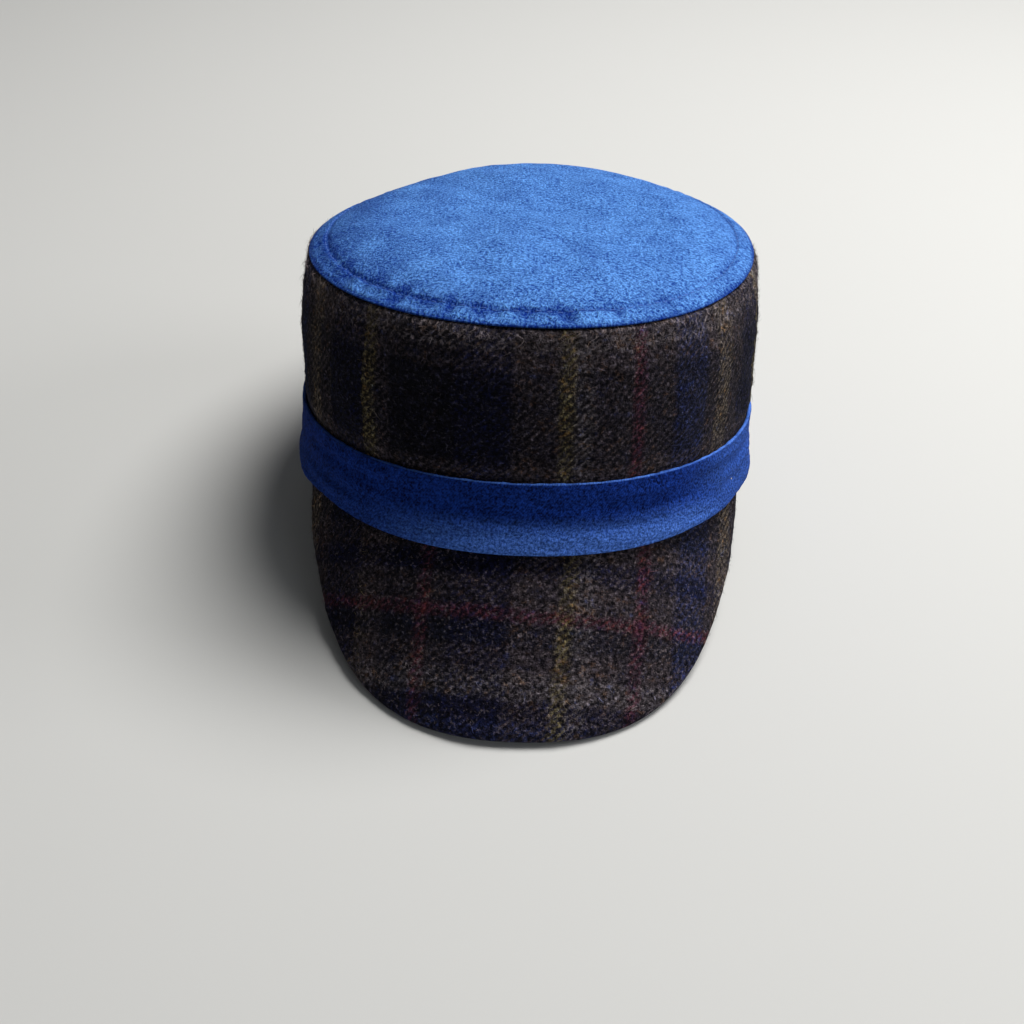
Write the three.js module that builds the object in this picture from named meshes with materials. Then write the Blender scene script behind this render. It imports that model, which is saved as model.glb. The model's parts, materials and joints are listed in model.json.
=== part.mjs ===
// A flat-topped peaked cap: denim crown top, tweed side wall, folded denim hat band and a tweed visor,
// with the stiffening, the lining and the sweatband that such a cap holds inside.
// Units are millimetres. The cap is drawn upright, with the band's base at z = 0 and the visor towards
// -Y. It is then tilted back to lie as it does on a table, on the visor's edge and the rear of the band.
import * as THREE from "three";
import { mergeVertices } from "three/addons/utils/BufferGeometryUtils.js";

// ---- Driving dimensions ------------------------------------------------------------------------
const BAND = { halfWidth: 89.8, halfDepth: 103.6, height: 27, thickness: 2, flare: 0.8 };
const SQUARENESS = 2.12; // exponent of the head oval: 2 is an ellipse, and more is squarer
const SEAM = { halfWidth: 84.8, halfDepth: 99.2, height: 85.4, slope: 0.052, saddle: 1 };
const WALL = { setBack: 1.6, tuckShare: 0.09, shoulder: 5 };
const DOME = { height: 11.4, flatness: 5.4 };
const VISOR = { length: 66.5, endLength: 3, halfAngle: 74, slope: 58, fullness: 3.5, rootInset: 5.8, edgeCrowding: 2.2 };
const THICKNESS = { denim: 1.1, tweed: 1.8, canvas: 0.8, lining: 0.5, sweatband: 0.9, board: 1.6 };
const SWEATBAND = { bottom: 1.5, top: 31, inset: 4.7 };
const STITCH = { diameter: 0.6, topInset: 7.5, sweatbandHeight: 4 };
const GAP = 0.3; // between any two layers
const STEPS = { round: 48, visorAcross: 32, visorAlong: 4, threadSides: 5 };
const DEGREE = Math.PI / 180;

// ---- Materials ---------------------------------------------------------------------------------
function cloth(color, roughness) {
  return new THREE.MeshStandardMaterial({ color, roughness, metalness: 0 });
}
const MATERIALS = {
  denimTop: cloth(0x4a74b4, 0.9),
  denimBand: cloth(0x22406f, 0.9),
  tweed: cloth(0x3b342d, 0.95),
  canvas: cloth(0xc9bfa6, 0.9),
  lining: cloth(0x26262b, 0.6),
  board: cloth(0x1b1b1d, 0.5),
  sweatband: cloth(0x1d2330, 0.8),
  thread: cloth(0x23365c, 0.7),
};

// ---- Turning plain three.js shapes into cap shapes -----------------------------------------------
// Moves each vertex of a geometry through a function of its place, once shared vertices are joined.
function reshape(geometry, move) {
  geometry.deleteAttribute("normal");
  geometry.deleteAttribute("uv");
  const joined = mergeVertices(geometry, 1e-3);
  const position = joined.getAttribute("position");
  for (let i = 0; i < position.count; i++) {
    position.setXYZ(i, ...move(position.getX(i), position.getY(i), position.getZ(i)));
  }
  joined.computeVertexNormals();
  return joined;
}

// Turns a profile of [offset, rise] points round the head and passes each point through
// place(offset, rise, angle). Angle 0 is the front (-Y) and 90 degrees is +X.
function turnRoundHead(profile, place) {
  const points = profile.map(([offset, rise]) => new THREE.Vector2(BAND.halfWidth + offset, rise));
  const lathe = new THREE.LatheGeometry(points, STEPS.round).rotateX(Math.PI / 2);
  return reshape(lathe, (x, y, rise) => {
    const reach = Math.hypot(x, y);
    const angle = reach < GAP ? 0 : Math.atan2(x, -y);
    return place(reach - BAND.halfWidth, rise, angle);
  });
}

// The closed profile of a layer of cloth whose outer face is at an offset, over a list of rises.
function layerProfile(offset, thickness, rises) {
  const outer = rises.map((rise) => [offset, rise]);
  const inner = rises.map((rise) => [offset - thickness, rise]).reverse();
  return [...outer, ...inner, outer[0]];
}

// ---- The head oval -------------------------------------------------------------------------------
function ovalPoint(halfWidth, halfDepth, angle) {
  const bend = (value) => Math.sign(value) * Math.abs(value) ** (2 / SQUARENESS);
  return [halfWidth * bend(Math.sin(angle)), -halfDepth * bend(Math.cos(angle))];
}

// ---- Band: straight layers on the base oval, with a lower edge that stands a little proud ---------
function bandPoint(offset, rise, angle) {
  const grow = offset - BAND.flare * (rise / BAND.height);
  return [...ovalPoint(BAND.halfWidth + grow, BAND.halfDepth + grow, angle), rise];
}

function bandLayer(offset, thickness, bottom, top) {
  return turnRoundHead(layerProfile(offset, thickness, [bottom, (bottom + top) / 2, top]), bandPoint);
}

// ---- Crown wall: from the tuck behind the band, share 0, to the crown seam, share 1 ----------------
function seamHeight(angle) {
  const y = ovalPoint(SEAM.halfWidth, SEAM.halfDepth, angle)[1];
  return SEAM.height + SEAM.slope * y + SEAM.saddle * Math.cos(2 * angle);
}

// A wall layer lies a depth inside the outer face. It starts at the first of the foot shares and stops
// a drop below the seam, under the layers of the crown top.
function wallLayer(depth, thickness, footShares, drop) {
  const headShare = 1 - drop / (SEAM.height - BAND.height);
  const behindBand = BAND.flare + BAND.thickness + GAP;
  const place = (offset, share, angle) => {
    const taper = Math.max(0, share) ** WALL.shoulder;
    const untucked = THREE.MathUtils.smoothstep(share, 0, WALL.tuckShare);
    const grow = offset - THREE.MathUtils.lerp(behindBand, WALL.setBack, untucked);
    const halfWidth = THREE.MathUtils.lerp(BAND.halfWidth, SEAM.halfWidth + WALL.setBack, taper);
    const halfDepth = THREE.MathUtils.lerp(BAND.halfDepth, SEAM.halfDepth + WALL.setBack, taper);
    const z = BAND.height + share * (seamHeight(angle) - BAND.height);
    return [...ovalPoint(halfWidth + grow, halfDepth + grow, angle), z];
  };
  const shares = [...footShares, 0.3, 0.6, 0.8, 0.88, 0.94, headShare];
  return turnRoundHead(layerProfile(-depth, thickness, shares), place);
}

// ---- Crown top: domed discs whose rim follows the crown seam ---------------------------------------
function topPoint(offset, rise, angle) {
  const share = Math.max(0, 1 + offset / BAND.halfWidth);
  const [x, y] = ovalPoint(SEAM.halfWidth * share, SEAM.halfDepth * share, angle);
  const saddle = SEAM.saddle * Math.cos(2 * angle) * share ** 2;
  const dome = DOME.height * (1 - share ** DOME.flatness);
  return [x, y, SEAM.height + SEAM.slope * y + saddle + dome + rise];
}

function topLayer(drop, thickness, rimInset) {
  const offsets = [0, 4, 9, 17, 32, 56].map((inward) => -rimInset - inward);
  const centre = -BAND.halfWidth;
  const lower = [...offsets, centre].map((offset) => [offset, -drop - thickness]).reverse();
  const upper = [...offsets, centre].map((offset) => [offset, -drop]);
  return turnRoundHead([...lower, ...upper], topPoint);
}

// ---- Visor: a board bent in one direction, with straight lines from the band down to its edge ------
function visorReach(angle) {
  const share = Math.min(1, Math.abs(angle) / (VISOR.halfAngle * DEGREE));
  return VISOR.endLength + (VISOR.length - VISOR.endLength) * (1 - share ** VISOR.fullness);
}

// The point at a share of the way from the root, which is level under the band, to the outer edge.
// offset is the distance from the middle surface of the board, outwards.
function visorPoint(angle, along, offset, edgeInset) {
  const [sine, cosine] = [Math.sin(VISOR.slope * DEGREE), Math.cos(VISOR.slope * DEGREE)];
  const halfWidth = BAND.halfWidth - VISOR.rootInset;
  const halfDepth = BAND.halfDepth - VISOR.rootInset;
  const [x, y] = ovalPoint(halfWidth, halfDepth, angle);
  const facing = Math.cos(angle) / halfDepth;
  const normal = new THREE.Vector3(Math.sin(angle) / halfWidth, -facing * sine ** 2, facing * sine * cosine);
  normal.normalize().multiplyScalar(offset);
  const root = (GAP + normal.z) / sine;
  const reach = root + (visorReach(angle) - edgeInset - root) * along;
  return [x + normal.x, y - reach * cosine + normal.y, normal.z - reach * sine];
}

// A layer between a high and a low offset. Along the outer edge it takes the two edge offsets instead,
// so that the covers close round the board.
function visorLayer({ high, low, edgeHigh = high, edgeLow = low, edgeInset = 0 }) {
  const block = new THREE.BoxGeometry(2, 1, 1, STEPS.visorAcross, STEPS.visorAlong, 1);
  const endAngle = VISOR.halfAngle * DEGREE - edgeInset / BAND.halfWidth;
  return reshape(block, (across, back, outward) => {
    const along = 1 - (0.5 + back) ** VISOR.edgeCrowding;
    const atEdge = along > 0.99;
    const upperFace = outward > 0;
    const offset = upperFace ? (atEdge ? edgeHigh : high) : atEdge ? edgeLow : low;
    return visorPoint(across * endAngle, along, offset, edgeInset);
  });
}

// ---- Stitching: a closed ring of thread of round section ---------------------------------------------
function threadRing(offset, rise, place) {
  const radius = STITCH.diameter / 2;
  const section = Array.from({ length: STEPS.threadSides }, (_, i) => {
    const turn = (i / STEPS.threadSides) * 2 * Math.PI;
    return [offset + radius * Math.cos(turn), rise + radius * Math.sin(turn)];
  });
  return turnRoundHead([...section, section[0]], place);
}

// ---- Assembly ----------------------------------------------------------------------------------------
function piece(name, geometry, material) {
  const mesh = new THREE.Mesh(geometry, material);
  mesh.name = name;
  return mesh;
}

function crownTop() {
  const canvasDrop = THICKNESS.denim + GAP;
  const liningDrop = canvasDrop + THICKNESS.canvas + GAP;
  const canvasInset = THICKNESS.tweed + 2 * GAP;
  const liningInset = canvasInset + THICKNESS.canvas + GAP;
  const threadRise = GAP + STITCH.diameter / 2;
  const group = new THREE.Group();
  group.add(
    piece("crown_top", topLayer(0, THICKNESS.denim, 0), MATERIALS.denimTop),
    piece("crown_top_interlining", topLayer(canvasDrop, THICKNESS.canvas, canvasInset), MATERIALS.canvas),
    piece("crown_top_lining", topLayer(liningDrop, THICKNESS.lining, liningInset), MATERIALS.lining),
    piece("crown_topstitch_thread", threadRing(-STITCH.topInset, threadRise, topPoint), MATERIALS.thread),
  );
  return group;
}

function crownWall() {
  const canvasDepth = THICKNESS.tweed + GAP;
  const liningDepth = canvasDepth + THICKNESS.canvas + GAP;
  const tweedDrop = THICKNESS.denim + 2 * GAP;
  const canvasDrop = tweedDrop + THICKNESS.canvas + GAP;
  const liningDrop = canvasDrop + THICKNESS.lining + GAP;
  const tuck = WALL.tuckShare;
  const tweed = wallLayer(0, THICKNESS.tweed, [-tuck, 0, tuck / 3, (2 * tuck) / 3, tuck], tweedDrop);
  const canvas = wallLayer(canvasDepth, THICKNESS.canvas, [tuck], canvasDrop);
  const lining = wallLayer(liningDepth, THICKNESS.lining, [tuck * 1.3], liningDrop);
  const group = new THREE.Group();
  group.add(
    piece("crown_wall", tweed, MATERIALS.tweed),
    piece("crown_wall_interlining", canvas, MATERIALS.canvas),
    piece("crown_wall_lining", lining, MATERIALS.lining),
  );
  return group;
}

function band() {
  const stiffenerTop = BAND.height * 0.7;
  const threadOffset = -SWEATBAND.inset - THICKNESS.sweatband - GAP - STITCH.diameter / 2;
  const { bottom, top, inset } = SWEATBAND;
  const group = new THREE.Group();
  group.add(
    piece("hat_band", bandLayer(0, BAND.thickness, 0, BAND.height), MATERIALS.denimBand),
    piece("band_stiffener", bandLayer(-BAND.thickness - GAP, THICKNESS.canvas, 1, stiffenerTop), MATERIALS.canvas),
    piece("sweatband", bandLayer(-inset, THICKNESS.sweatband, bottom, top), MATERIALS.sweatband),
    piece("sweatband_thread", threadRing(threadOffset, STITCH.sweatbandHeight, bandPoint), MATERIALS.thread),
  );
  return group;
}

function visor() {
  const boardFace = THICKNESS.board / 2;
  const top = { low: boardFace + GAP, high: boardFace + GAP + THICKNESS.tweed };
  const under = { high: -boardFace - GAP, low: -boardFace - GAP - THICKNESS.denim };
  const group = new THREE.Group();
  group.add(
    piece("visor_top_cover", visorLayer({ ...top, edgeLow: GAP / 2, edgeHigh: top.high - 1 }), MATERIALS.tweed),
    piece("visor_board", visorLayer({ high: boardFace, low: -boardFace, edgeInset: 4.5 }), MATERIALS.board),
    piece("visor_under_cover", visorLayer({ ...under, edgeHigh: -GAP / 2, edgeLow: -boardFace }), MATERIALS.tweed),
  );
  return group;
}

// The tilt at which the visor's edge and the rear of the band's base touch the table together.
function restingTilt(visorGroup) {
  let tilt = 0;
  for (const mesh of visorGroup.children) {
    const position = mesh.geometry.getAttribute("position");
    for (let i = 0; i < position.count; i++) {
      tilt = Math.max(tilt, Math.atan2(-position.getZ(i), BAND.halfDepth - position.getY(i)));
    }
  }
  return tilt;
}

// The finished cap, tilted back, with the origin under the middle of its bounding box.
function cap() {
  const visorGroup = visor();
  const tilted = new THREE.Group();
  tilted.add(crownTop(), crownWall(), band(), visorGroup);
  tilted.rotation.x = -restingTilt(visorGroup);
  const box = new THREE.Box3().setFromObject(tilted, true);
  const centre = box.getCenter(new THREE.Vector3());
  tilted.position.set(-centre.x, -centre.y, -box.min.z);
  const standing = new THREE.Group();
  standing.add(tilted);
  return standing;
}

export default cap();
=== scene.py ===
import json
import math

import bpy
import numpy as np
from mathutils import Matrix, Vector


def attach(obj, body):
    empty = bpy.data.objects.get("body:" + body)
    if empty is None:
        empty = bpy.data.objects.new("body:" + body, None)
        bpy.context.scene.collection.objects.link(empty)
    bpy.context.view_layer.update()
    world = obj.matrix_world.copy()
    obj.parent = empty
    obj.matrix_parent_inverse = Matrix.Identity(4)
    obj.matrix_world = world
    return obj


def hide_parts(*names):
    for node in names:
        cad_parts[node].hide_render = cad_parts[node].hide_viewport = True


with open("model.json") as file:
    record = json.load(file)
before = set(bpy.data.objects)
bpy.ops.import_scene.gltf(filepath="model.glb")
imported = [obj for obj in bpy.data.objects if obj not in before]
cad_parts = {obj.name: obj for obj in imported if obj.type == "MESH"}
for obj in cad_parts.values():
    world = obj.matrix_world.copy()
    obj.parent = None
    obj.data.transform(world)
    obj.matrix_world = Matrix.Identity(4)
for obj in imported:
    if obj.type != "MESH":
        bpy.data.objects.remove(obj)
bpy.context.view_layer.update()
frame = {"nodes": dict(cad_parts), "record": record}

# ---- The cap's own frame ----
MM = 0.001
opening = next(m for m in frame["record"]["mounts"] if m["name"] == "head_opening")
ORIGIN = np.array(opening["pos_m"])
UP = -np.array(opening["axis"]) / np.linalg.norm(opening["axis"])
RIGHT = np.array([1.0, 0.0, 0.0])
BACK = np.cross(UP, RIGHT)


def turn(vectors):
    """Vectors in the cap's frame, as the row frame has them."""
    return np.asarray(vectors, float) @ np.stack([RIGHT, BACK, UP])


def place(points):
    """Points of the cap's frame in mm, as metres in the row frame."""
    return ORIGIN + MM * turn(points)


# ---- Camera ----
CAMERA_AT = (-0.901, -534.152, 218.63)
PITCH, ROLL, YAW = (math.radians(d) for d in (25.1, -1.785, -0.387))
LENS_MM, SENSOR_MM = 49.22, 36.0


def link(name, data):
    """A new object in the scene."""
    made = bpy.data.objects.new(name, data)
    bpy.context.scene.collection.objects.link(made)
    return made


def make_camera():
    forward = np.array([math.sin(YAW) * math.cos(PITCH), math.cos(YAW) * math.cos(PITCH), -math.sin(PITCH)])
    level = np.array([math.cos(YAW), -math.sin(YAW), 0.0])
    down = np.cross(forward, level)
    right = math.cos(ROLL) * level + math.sin(ROLL) * down
    down = -math.sin(ROLL) * level + math.cos(ROLL) * down
    matrix = np.eye(4)
    matrix[:3, 0], matrix[:3, 1], matrix[:3, 2] = turn(right), -turn(down), -turn(forward)
    matrix[:3, 3] = place(CAMERA_AT)
    data = bpy.data.cameras.new("camera")
    data.lens, data.sensor_width = LENS_MM, SENSOR_MM
    data.clip_start, data.clip_end = 0.01, 50
    camera = link("camera", data)
    camera.matrix_world = Matrix(matrix.tolist())
    bpy.context.scene.camera = camera


make_camera()

# ---- Driving dimensions ----
# These are the CAD's own, except that the worn dome stands lower than the CAD's. rim_rise and
# rim_tuck hold the worn crown's other departures.
SQUARENESS = 2.12
BAND_W, BAND_D, BAND_H = 89.8, 103.6, 27.0
SEAM_W, SEAM_D, SEAM_H, SEAM_SLOPE, SEAM_SADDLE = 84.8, 99.2, 85.4, 0.052, 1.0
DOME_H, DOME_POWER = 10.8, 5.4
VISOR_LENGTH, VISOR_END, VISOR_HALF, VISOR_FULLNESS = 66.5, 3.0, math.radians(74), 3.5
VISOR_SLOPE, VISOR_INSET = math.radians(58), 5.8
BAND_LEAN = 0.8  # how far the band leans in over its height
SEAM_MEAN = (SEAM_W + SEAM_D) / 2
COLUMNS = 720


def oval(half_width, half_depth, angle):
    """x and y on the head oval."""
    def bend(value):
        return np.sign(value) * np.abs(value) ** (2 / SQUARENESS)

    return half_width * bend(np.sin(angle)), -half_depth * bend(np.cos(angle))


def arc_table():
    """Fine angles, and the arc length along the band's oval from the front to each."""
    angle = np.linspace(-math.pi, math.pi, 40001)
    x, y = oval(BAND_W, BAND_D, angle)
    steps = np.hypot(np.diff(x), np.diff(y))
    along = np.concatenate([[0], np.cumsum(steps)])
    return angle, along - along[-1] / 2


ARC_ANGLE, ARC_LENGTH = arc_table()
HALF_ROUND = ARC_LENGTH[-1]
U = np.linspace(-HALF_ROUND, HALF_ROUND, COLUMNS, endpoint=False)
THETA = np.interp(U, ARC_LENGTH, ARC_ANGLE)


def join(*parts):
    """Arrays of coordinates, broadcast together along a new last axis."""
    return np.stack(np.broadcast_arrays(*parts), -1)


def smooth(low, high, value):
    t = np.clip((value - low) / (high - low), 0, 1)
    return t * t * (3 - 2 * t)


def bell(value, centre, width):
    return np.exp(-(((value - centre) / width) ** 2))


def waves(points, length, seed, count=28, spread=0.5):
    """Smooth random waves of about that wavelength, with a standard deviation of about 1."""
    draw = np.random.default_rng(seed)
    points = np.asarray(points, float)
    dims = points.shape[-1]
    total = np.zeros(points.shape[:-1])
    for _ in range(count):
        way = draw.normal(size=dims)
        way /= np.linalg.norm(way)
        wavelength = length * draw.uniform(1 - spread, 1 + spread)
        total += np.sin(points @ way * (2 * math.pi / wavelength) + draw.uniform(0, 2 * math.pi))
    return total / math.sqrt(count / 2)


def around(angle, centre, width=38):
    """A bell round the head, centred on an angle in degrees."""
    return bell((np.degrees(angle) - centre + 180) % 360 - 180, 0, width)


def rim_rise(angle):
    """The worn crown's rim stands up at the right side and the back, and sags at the left back."""
    return (2.3 * around(angle, 90) + 2.1 * around(angle, 180) - 4.8 * around(angle, -132)
            - 1.3 * around(angle, 135) - 1.0 * around(angle, 45))


def rim_tuck(angle):
    """How far in the worn crown's rim is drawn, most of all at the right front."""
    return (2.1 * around(angle, 45) + 0.6 * around(angle, -135)
            + 0.5 * around(angle, -45) - 0.6 * around(angle, 0))


def rim_oval(angle, share=1.0, out=0.0):
    """x and y on the worn rim, or at a share of the way out to it."""
    return oval((SEAM_W - rim_tuck(angle) + out) * share, (SEAM_D - rim_tuck(angle) + out) * share, angle)


def seam_height(angle, share=1.0):
    """Height of the crown's seam, or of the surface it bounds at a share of the way out to it."""
    y = oval(SEAM_W * share, SEAM_D * share, angle)[1]
    return SEAM_H + SEAM_SLOPE * y + (SEAM_SADDLE * np.cos(2 * angle) + rim_rise(angle)) * share**2


def dome_height(angle, share):
    """Height of the plain dome."""
    return seam_height(angle, share) + DOME_H * (1 - share**DOME_POWER)


# ---- Meshes ----
def make_mesh(name, points, faces, uvs, material, slot_name, stands_for=()):
    """points are in the cap's frame in mm. faces is a list of index arrays, each of quads or of
    triangles, and uvs the matching list of corner coordinates in mm."""
    mesh = bpy.data.meshes.new(name)
    corner_index = np.concatenate([f.reshape(-1) for f in faces]).astype(np.int32)
    sizes = np.concatenate([np.full(len(f), f.shape[1]) for f in faces])
    starts = np.concatenate([[0], np.cumsum(sizes)[:-1]]).astype(np.int32)
    mesh.vertices.add(len(points))
    mesh.vertices.foreach_set("co", place(points).astype(np.float32).ravel())
    mesh.loops.add(len(corner_index))
    mesh.loops.foreach_set("vertex_index", corner_index)
    mesh.polygons.add(len(sizes))
    mesh.polygons.foreach_set("loop_start", starts)
    mesh.update(calc_edges=True)
    layer = mesh.uv_layers.new(name="cloth")
    corners = np.concatenate([uv.reshape(-1, 2) for uv in uvs])
    layer.data.foreach_set("uv", corners.astype(np.float32).ravel())
    mesh.polygons.foreach_set("use_smooth", np.ones(len(sizes), bool))
    mesh.validate()
    mesh.materials.append(material)
    piece = link(name, mesh)
    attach(piece, "root")
    if stands_for:
        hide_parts(*stands_for)
    return piece


def grid_faces(rows, columns, wrap_rows, wrap_columns):
    """Quads of a grid of points numbered column by column, and the row and column of their corners."""
    c = np.arange(columns if wrap_columns else columns - 1)
    r = np.arange(rows if wrap_rows else rows - 1)
    c, r = (a.ravel() for a in np.meshgrid(c, r, indexing="ij"))
    corner_c = join(c, c + 1, c + 1, c)
    corner_r = join(r, r, r + 1, r + 1)
    index = (corner_c % columns) * rows + corner_r % rows
    return index, corner_c, corner_r


def ring_mesh(name, grid, u, v, *rest, flip=False):
    """A closed ring: grid is (columns, rows, 3) and wraps both ways. u has one more entry than the
    columns, and v one more than the rows."""
    columns, rows = grid.shape[:2]
    index, corner_c, corner_r = grid_faces(rows, columns, True, True)
    uv = np.stack([u[corner_c], v[corner_r]], -1)
    if flip:
        index, uv = index[:, ::-1], uv[:, ::-1]
    return make_mesh(name, grid.reshape(-1, 3), [index], [uv], *rest)


def disc_mesh(name, grid, poles, *rest):
    """A closed disc: grid is (columns, rows, 3), whose first row is round the first pole and whose
    last is round the last pole. Its cloth lies flat on x and y."""
    columns, rows = grid.shape[:2]
    index, _, _ = grid_faces(rows, columns, False, True)
    points = np.concatenate([grid.reshape(-1, 3), np.asarray(poles, float)])
    ring = np.arange(columns)
    following = (ring + 1) % columns
    count = columns * rows
    first = join(np.full(columns, count), following * rows, ring * rows)
    last = join(np.full(columns, count + 1), ring * rows + rows - 1, following * rows + rows - 1)
    faces = [index[:, ::-1], np.concatenate([first, last])[:, ::-1]]
    return make_mesh(name, points, faces, [points[f][..., :2] for f in faces], *rest)


def path_normals(across, height):
    """Unit normals, to the left of travel, of paths in a plane. Each is (..., points)."""
    da, dh = np.gradient(across, axis=-1), np.gradient(height, axis=-1)
    size = np.maximum(np.hypot(da, dh), 1e-9)
    return -dh / size, da / size


def ring_sheet(name, half_width, half_depth, height, thickness, relief, v, *rest):
    """A ring of cloth round the head. The first three are the cloth's outer face, one row of points
    per column of the ring, from its first edge to its last. relief lifts the outer face, and the
    inner face lies a thickness behind."""
    across = (half_width + half_depth) / 2
    n_across, n_height = path_normals(across, height)
    sign = 1 if np.mean(n_across) > 0 else -1
    n_across, n_height = n_across * sign, n_height * sign
    angle = THETA[:, None] + np.zeros_like(height)

    def face(offset):
        x, y = oval(half_width + n_across * offset, half_depth + n_across * offset, angle)
        return join(x, y, height + n_height * offset)

    outer, inner = face(relief), face(relief * 0.5 - thickness)
    grid = np.concatenate([outer, inner[:, ::-1]], 1)
    v_all = np.concatenate([v, v[::-1], v[:1]])
    u_all = np.concatenate([U, [HALF_ROUND]])
    piece = ring_mesh(name, grid, u_all, v_all, *rest, flip=sign > 0)
    cloth = join(U[:, None], v[None])
    return piece, outer, cloth


# ---- Materials ----
class Shader:
    """Builds one procedural material."""

    def __init__(self, name, roughness=0.9, sheen=0.0, sheen_roughness=0.5, specular=0.3):
        self.material = bpy.data.materials.new(name)
        self.material.use_nodes = True
        self.tree = self.material.node_tree
        self.tree.nodes.clear()
        self.bsdf = self.tree.nodes.new("ShaderNodeBsdfPrincipled")
        output = self.tree.nodes.new("ShaderNodeOutputMaterial")
        self.tree.links.new(self.bsdf.outputs[0], output.inputs["Surface"])
        self.bsdf.inputs["Roughness"].default_value = roughness
        self.bsdf.inputs["Sheen Weight"].default_value = sheen
        self.bsdf.inputs["Sheen Roughness"].default_value = sheen_roughness
        self.bsdf.inputs["Specular IOR Level"].default_value = specular
        self.material.diffuse_color = (0.3, 0.3, 0.3, 1)

    def node(self, kind, **settings):
        made = self.tree.nodes.new("ShaderNode" + kind)
        for key, value in settings.items():
            setattr(made, key, value)
        return made

    def feed(self, socket, value):
        if isinstance(value, bpy.types.NodeSocket):
            self.tree.links.new(value, socket)
        elif isinstance(value, (tuple, list)) and socket.type == "RGBA":
            socket.default_value = (*value[:3], 1)
        else:
            socket.default_value = value

    def math(self, operation, a, b=0.0, c=0.0):
        made = self.node("Math", operation=operation)
        for socket, value in zip(made.inputs, (a, b, c)):
            self.feed(socket, value)
        return made.outputs[0]

    def add(self, a, b):
        return self.math("ADD", a, b)

    def mul(self, a, b):
        return self.math("MULTIPLY", a, b)

    def sub(self, a, b):
        return self.math("SUBTRACT", a, b)

    def times(self, color, factors, operation="MULTIPLY"):
        """A colour times a fixed colour, which may be brighter than white, or with it added."""
        made = self.node("VectorMath", operation=operation)
        self.feed(made.inputs[0], color)
        made.inputs[1].default_value = factors
        return made.outputs[0]

    def vector(self, x, y, z=0.0):
        made = self.node("CombineXYZ")
        for socket, value in zip(made.inputs, (x, y, z)):
            self.feed(socket, value)
        return made.outputs[0]

    def uv(self):
        made = self.node("UVMap", uv_map="cloth")
        parts = self.node("SeparateXYZ")
        self.feed(parts.inputs[0], made.outputs[0])
        return parts.outputs[0], parts.outputs[1]

    def place_mm(self):
        """The surface's place in the row frame, in mm."""
        made = self.node("TexCoord")
        scaled = self.node("VectorMath", operation="SCALE")
        self.feed(scaled.inputs[0], made.outputs["Object"])
        scaled.inputs["Scale"].default_value = 1000
        return scaled.outputs[0]

    def noise(self, vector, scale, detail=2.0, roughness=0.5):
        made = self.node("TexNoise")
        self.feed(made.inputs["Vector"], vector)
        made.inputs["Scale"].default_value = scale
        made.inputs["Detail"].default_value = detail
        made.inputs["Roughness"].default_value = roughness
        return made.outputs[0]

    def step(self, value, low, high, out_low=0.0, out_high=1.0):
        made = self.node("MapRange", interpolation_type="SMOOTHSTEP")
        self.feed(made.inputs["Value"], value)
        ends = {"From Min": low, "From Max": high, "To Min": out_low, "To Max": out_high}
        for key, number in ends.items():
            self.feed(made.inputs[key], number)
        return made.outputs[0]

    def within(self, value, period):
        """A value's place in its period, from 0 to 1."""
        return self.math("FRACT", self.math("DIVIDE", value, period))

    def stripe(self, value, centre, half, soft):
        """1 within half of the centre, falling to 0 over soft."""
        away = self.math("ABSOLUTE", self.sub(value, centre))
        return self.step(away, half + soft, half)

    def mix(self, factor, a, b, blend="MIX"):
        made = self.node("Mix", data_type="RGBA", blend_type=blend)
        self.feed(made.inputs[0], factor)
        self.feed(made.inputs[6], a)
        self.feed(made.inputs[7], b)
        return made.outputs[2]

    def ramp(self, factor, stops):
        made = self.node("ValToRGB")
        ramp = made.color_ramp
        while len(ramp.elements) < len(stops):
            ramp.elements.new(0.5)
        for element, (position, color) in zip(ramp.elements, stops):
            element.position = position
            element.color = (*color, 1)
        self.feed(made.inputs[0], factor)
        return made.outputs[0]

    def finish(self, color, height=None, bump_mm=0.3, strength=1.0, roughness=None):
        self.feed(self.bsdf.inputs["Base Color"], color)
        if roughness is not None:
            self.feed(self.bsdf.inputs["Roughness"], roughness)
        if height is not None:
            bump = self.node("Bump")
            bump.inputs["Strength"].default_value = strength
            bump.inputs["Distance"].default_value = bump_mm * MM
            self.feed(bump.inputs["Height"], height)
            self.feed(self.bsdf.inputs["Normal"], bump.outputs[0])
        return self.material


def srgb(red, green, blue):
    """A colour given as 0 to 255 display values, as linear light."""
    def linear(value):
        value /= 255
        return value / 12.92 if value <= 0.04045 else ((value + 0.055) / 1.055) ** 2.4

    return tuple(linear(v) for v in (red, green, blue))


DENIM_PITCH = 0.85  # from one ridge of the denim's twill to the next


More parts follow.
